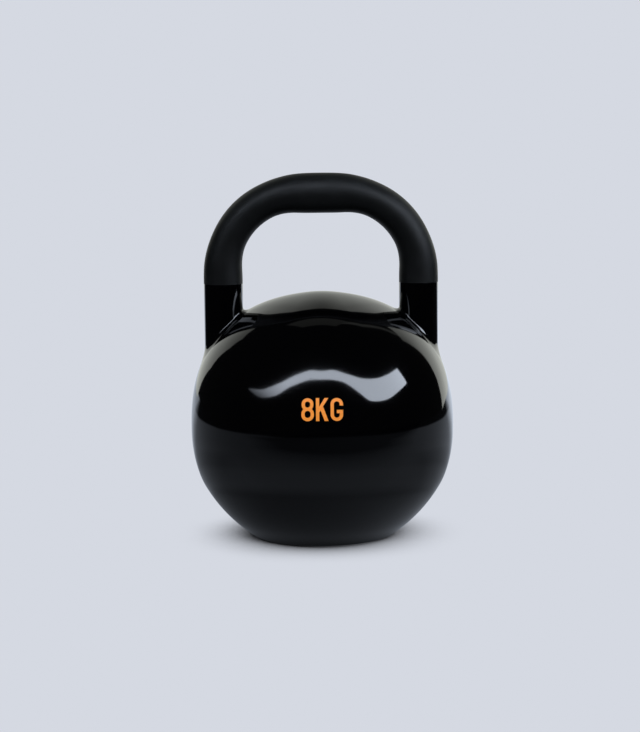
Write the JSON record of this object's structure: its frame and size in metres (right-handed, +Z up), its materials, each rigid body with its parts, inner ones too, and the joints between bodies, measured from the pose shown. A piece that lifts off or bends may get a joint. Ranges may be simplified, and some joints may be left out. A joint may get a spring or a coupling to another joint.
{
  "type": "kettlebell",
  "caption": "Competition-pattern kettlebell: hollow steel ball with a bent tube handle, gloss coat, matt grip, ballast and rubber base pad.",
  "frame": {"origin": "centre of the base pad's underside, on the floor", "axes": "+Z up through the ball and the middle of the handle; X along the handle's straight top; the weight mark faces -Y"},
  "size_m": [0.21, 0.21, 0.2895],
  "materials": {
    "shell_steel": "satin",
    "tube_steel": "satin",
    "weld_steel": "satin",
    "ballast_concrete": "matte",
    "plug_brass": "satin",
    "washer_rubber": "matte",
    "pad_rubber": "matte",
    "coat_vinyl": "polished",
    "grip_layer": "matte",
    "mark_paint": "satin"
  },
  "bodies": {
    "root": {"lower_shell": "shell_steel", "upper_shell": "shell_steel", "backing_strip": "shell_steel", "seam_weld": "weld_steel", "handle_tube": "tube_steel", "handle_welds": "weld_steel", "ballast": "ballast_concrete", "filler_neck": "tube_steel", "filler_plug": "plug_brass", "plug_washer": "washer_rubber", "base_pad": "pad_rubber", "gloss_coat": "coat_vinyl", "grip_sleeve": "grip_layer", "weight_mark": "mark_paint"}
  },
  "joints": []
}
